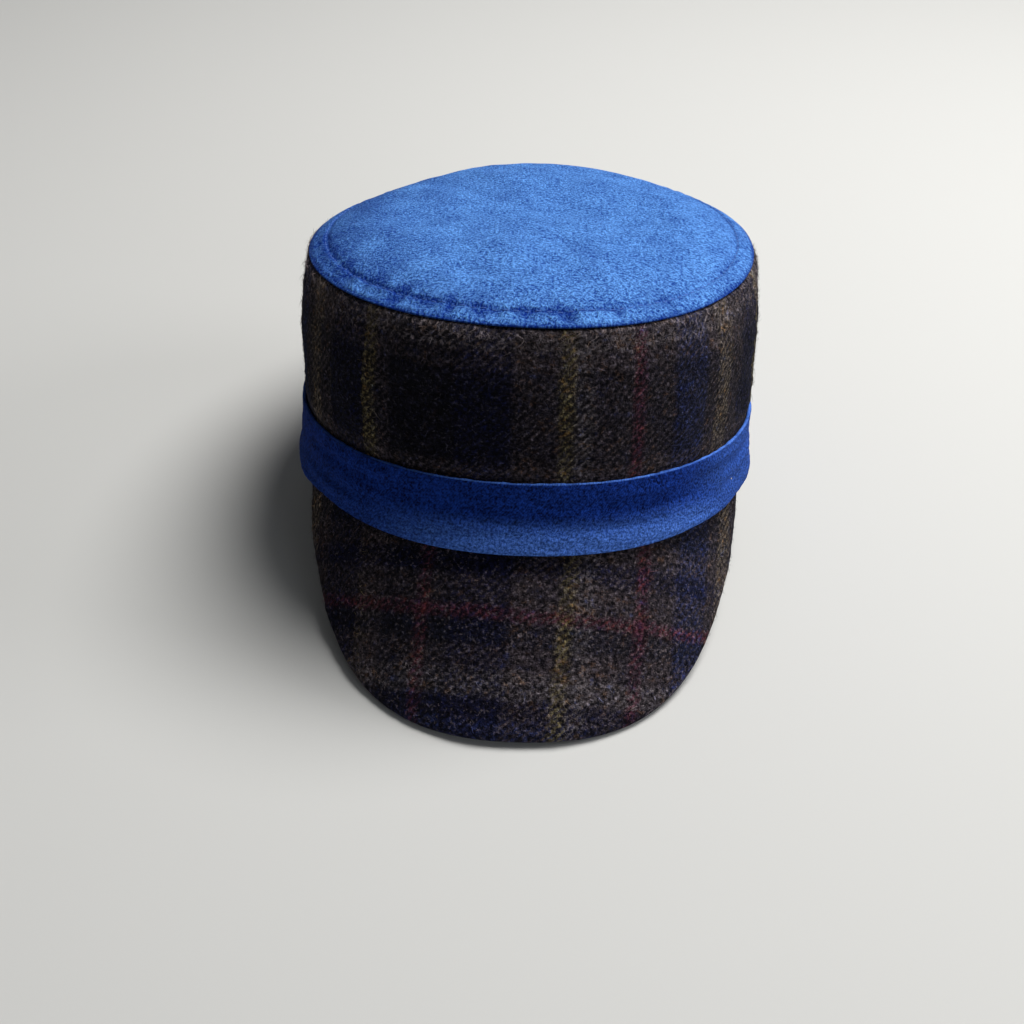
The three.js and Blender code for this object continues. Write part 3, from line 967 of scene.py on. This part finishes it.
def visor_point(angle, reach, offset):
    """A point at a reach down the slope from the root, and an offset out of the board's middle."""
    sine, cosine = math.sin(VISOR_SLOPE), math.cos(VISOR_SLOPE)
    half_width, half_depth = BAND_W - VISOR_INSET, BAND_D - VISOR_INSET
    x, y = oval(half_width, half_depth, angle)
    facing = np.cos(angle) / half_depth
    normal = join(np.sin(angle) / half_width, -facing * sine**2, facing * sine * cosine)
    normal /= np.linalg.norm(normal, axis=-1)[..., None]
    lift = normal * np.asarray(offset)[..., None]
    spot = join(x, y - reach * cosine, -reach * sine) + lift
    return spot, normal


def visor_columns(count, end_angle):
    """Angles across the visor, evenly spaced along its root."""
    end = np.interp(end_angle, ARC_ANGLE, ARC_LENGTH)
    return np.interp(np.linspace(-end, end, count), ARC_LENGTH, ARC_ANGLE)


CLOTH_TURN = math.radians(3.6)  # how far the cover's cloth is turned against the visor
CLOTH_SHIFT = 3.0
EDGE_WIDTH = 3.6  # the width of the rounded edge
FINE_WIDTH = 4.4  # the width along the edge where the rows of points are close together
NARROW = 9.0  # where the visor reaches less than this, its edge shrinks with it
EDGE_THICKNESS = 0.12
ROOT_DEPTH = 0.3


def edge_bend(inset):
    """The rounded edge's section: 0 at the edge, 1 from the edge's width inwards."""
    return np.sqrt(np.clip(1 - (1 - np.minimum(inset, EDGE_WIDTH) / EDGE_WIDTH) ** 2, 0, 1))


def root_cut(points):
    """The points, with the root cut level under the band."""
    points[..., 2] = np.minimum(points[..., 2], -ROOT_DEPTH)
    return points


def visor_cover(name, high, low, sign, relief_size, seed, stands_for):
    """One cover, from the root to the rounded edge and back inside. high and low are its faces'
    offsets from the board's middle. Gives its outer face and that face's cloth coordinates."""
    angle = visor_columns(361, VISOR_HALF)
    full = visor_reach(angle)[:, None]
    fine = [0, 0.08, 0.25, 0.5, 0.85, 1.3, 1.8, 2.4, 3.0, 3.6, FINE_WIDTH]
    inward = np.concatenate([fine, np.linspace(5.5, VISOR_LENGTH, 62)])[None]
    shrink = np.minimum(1, full / NARROW)
    start = FINE_WIDTH * shrink
    past = (inward - FINE_WIDTH) / (VISOR_LENGTH - FINE_WIDTH)
    inset = np.where(inward < FINE_WIDTH, inward * shrink, start + past * (full - start))
    reach = full - inset
    outer_offset = sign * (EDGE_THICKNESS + (high - EDGE_THICKNESS) * edge_bend(inset))
    angles = angle[:, None] + 0 * reach
    outer, normal = visor_point(angles, reach, outer_offset)
    relief = 0 * reach
    for step, (size, length) in enumerate(((0.9, 34), (0.45, 12), (0.3, 5), (0.16, 2.6))):
        relief = relief + size * waves(outer, length, seed + step)
    relief = relief_size * relief * smooth(0, 3, inset) * smooth(0, 5, reach)
    outer = root_cut(outer + normal * (sign * relief)[..., None])
    inner_inset = np.maximum(inset, 0.35)
    inner_offset = sign * np.maximum(0.05, low * edge_bend(inner_inset))
    inner = root_cut(visor_point(angles, full - inner_inset, inner_offset)[0])
    grid = np.concatenate([outer[:, ::-1], inner], 1)
    columns, rows = grid.shape[:2]
    index, _, _ = grid_faces(rows, columns, False, False)
    half = rows // 2
    # A strip at the root closes the loop, and each end is a strip between the two faces.
    c = np.arange(columns - 1)
    close = join(c * rows + rows - 1, (c + 1) * rows + rows - 1, (c + 1) * rows, c * rows)
    r = np.arange(half - 1)
    first = join(r, r + 1, rows - 2 - r, rows - 1 - r)
    last = (first + (columns - 1) * rows)[:, ::-1]
    # The cover is cut from flat cloth: down along the slope, and across at right angles to it.
    half_width, half_depth = BAND_W - VISOR_INSET, BAND_D - VISOR_INSET
    root_x, root_y = oval(half_width, half_depth, angle)
    steps = np.hypot(np.diff(root_x), np.diff(root_y) * math.sin(VISOR_SLOPE))
    across = np.concatenate([[0], np.cumsum(steps)])
    across = (across - across[-1] / 2)[:, None]
    down = np.concatenate([reach[:, ::-1], full - inner_inset], 1)
    down = down - (root_y[:, None] + half_depth) * math.cos(VISOR_SLOPE)
    cloth_u = across * math.cos(CLOTH_TURN) + down * math.sin(CLOTH_TURN) - CLOTH_SHIFT
    cloth_v = across * math.sin(CLOTH_TURN) - down * math.cos(CLOTH_TURN)
    cloth_grid = join(cloth_u, cloth_v)
    cloth = cloth_grid.reshape(-1, 2)
    faces = [index, close, first, last]
    if sign > 0:
        faces = [f[:, ::-1] for f in faces]
    piece = make_mesh(
        name, grid.reshape(-1, 3), faces, [cloth[f] for f in faces], TWEED_VISOR, "tweed", (stands_for,))
    return grid[:, :half], cloth_grid[:, :half]


visor_face, visor_cloth = visor_cover("visor_top_tweed", 2.9, 1.1, 1, 0.22, 41, "visor_top_cover")
FUZZY_VISOR = slice(3, -7)  # the rows between the root and the rounded edge
fuzz("visor_fuzz", visor_face[::-1, FUZZY_VISOR], visor_cloth[::-1, FUZZY_VISOR], 7000, 82)
visor_cover("visor_under_tweed", 2.2, 1.1, -1, 0.12, 51, "visor_under_cover")


# ---- Sweatband and lining ----
SWEATBAND_IN, SWEATBAND_THICKNESS = 4.9, 0.9
SWEATBAND_STITCH_HEIGHT = 4


def sweatband():
    height = np.linspace(1.5, 31, 40)[None] + 0 * U[:, None]
    grow = -SWEATBAND_IN - BAND_LEAN * height / BAND_H
    x, y = oval(BAND_W + grow, BAND_D + grow, THETA[:, None])
    relief = 0.12 * waves(join(x, y, height), 20, 61)
    piece, _, _ = ring_sheet(
        "sweatband_ribbon", BAND_W + grow, BAND_D + grow, height, SWEATBAND_THICKNESS, relief, height[0],
        RIBBON, "sweatband", ("sweatband",))


def inner_wall(name, behind, thickness, pleat, material, slot_name, stands_for):
    """A hidden layer of the wall, behind the tweed's outer face, with loose upright folds."""
    share = np.linspace(0.08, 0.93, 60)[None]
    height = wall_section(share, 0)[2]
    folds = waves(join(U[:, None], height * 0.12), 24, 71)
    wave = pleat * (folds * smooth(0.06, 0.25, share) - 0.6)
    rows = wall_section(share, -WALL_SETBACK - behind + np.minimum(0, wave))
    piece, _, _ = ring_sheet(
        name, *rows, thickness, 0 * height, height.mean(0), material, slot_name, (stands_for,))


def inner_top(name, end, drop, thickness, slack, material, slot_name, stands_for):
    """A hidden layer of the top, a drop below the plain dome, out to a share of the way to the rim."""
    share = np.concatenate([np.linspace(0.05, 0.9, 30), np.linspace(0.9, end, 8)[1:]])[None]
    angle = THETA[:, None]
    x, y = rim_oval(angle, share)
    sag = slack * (1.8 + waves(join(x, y), 40, 72) * smooth(1, 0.8, share))
    low = drop + np.maximum(0, sag)
    z = dome_height(angle, share) - low
    outer = join(x, y, z)
    inner = outer[:, ::-1] - np.array([0, 0, thickness])
    middle = float(z[:, 0].mean())
    poles = [(0, 0, middle), (0, 0, middle - thickness)]
    grid = np.concatenate([outer, inner], 1)
    piece = disc_mesh(name, grid, poles, material, slot_name, (stands_for,))


def sweatband_stitches():
    pitch = 3.2
    grow = -SWEATBAND_IN - SWEATBAND_THICKNESS - BAND_LEAN * SWEATBAND_STITCH_HEIGHT / BAND_H
    x, y = oval(BAND_W + grow, BAND_D + grow, THETA)
    line = join(x, y, SWEATBAND_STITCH_HEIGHT)
    centres, along = stitch_places(line, pitch)
    out = np.cross(along, [0, 0, 1.0])
    out *= np.sign((out * -centres).sum(1))[:, None]
    stitch_solids("sweatband_stitches", centres, along, out, 2.4, 0.25,
                  THREAD, "thread", ("sweatband_thread",))


sweatband()
inner_wall("crown_wall_canvas", 2.2, 0.6, 0.0, CANVAS, "canvas",
           "crown_wall_interlining")
inner_wall("lining_wall", 3.2, 0.45, 0.5, LINING, "lining",
           "crown_wall_lining")
inner_top("crown_top_canvas", 0.945, 2.4, 0.6, 0.0, CANVAS, "canvas",
          "crown_top_interlining")
inner_top("lining_top", 0.935, 3.2, 0.45, 0.5, LINING, "lining",
          "crown_top_lining")
sweatband_stitches()

for entry in frame["nodes"]["visor_board"].material_slots:
    entry.material = BOARD


# ---- Studio ----
def studio():
    """A pale floor that bends up behind, a soft world and three disc lights."""
    floor_shader = Shader("pale_floor", roughness=0.8, specular=0.2)
    floor_shader.finish(srgb(204, 204, 202))
    size, front, back, radius, rise = 4.0, -3.0, 1.1, 0.9, 2.2
    steps = [(front, 0.0), (back, 0.0)]
    for a in np.linspace(0.1, math.pi / 2, 12):
        steps.append((back + radius * math.sin(a), radius - radius * math.cos(a)))
    steps.append((back + radius, radius + rise))
    points = [(x, y, z) for y, z in steps for x in (-size, size)]
    faces = [(2 * i, 2 * i + 1, 2 * i + 3, 2 * i + 2) for i in range(len(steps) - 1)]
    mesh = bpy.data.meshes.new("floor")
    mesh.from_pydata(points, [], faces)
    mesh.polygons.foreach_set("use_smooth", np.ones(len(faces), bool))
    mesh.materials.append(floor_shader.material)
    link("floor", mesh)
    world = bpy.data.worlds.new("world")
    world.use_nodes = True
    background = world.node_tree.nodes["Background"]
    background.inputs[0].default_value = (0.93, 0.96, 1.0, 1)
    background.inputs[1].default_value = 0.085
    bpy.context.scene.world = world
    for name, at, size, power, color in (
        ("key", (0.5, 0.35, 1.3), 0.8, 24.0, (1.0, 0.99, 0.97)),
        ("side", (1.5, 0.1, 0.75), 0.7, 8.0, (1.0, 1.0, 1.0)),
        ("front", (0.75, -1.1, 0.6), 0.8, 1.9, (0.9, 0.95, 1.0)),
    ):
        data = bpy.data.lights.new(name, "AREA")
        data.shape, data.size, data.energy, data.color = "DISK", size, power, color
        light = link(name, data)
        light.location = at
        aim = np.array([0, 0, 0.06]) - np.array(at)
        light.rotation_mode = "QUATERNION"
        light.rotation_quaternion = Vector(aim).to_track_quat("-Z", "Y")
    bpy.context.scene.view_settings.view_transform = "Standard"


studio()
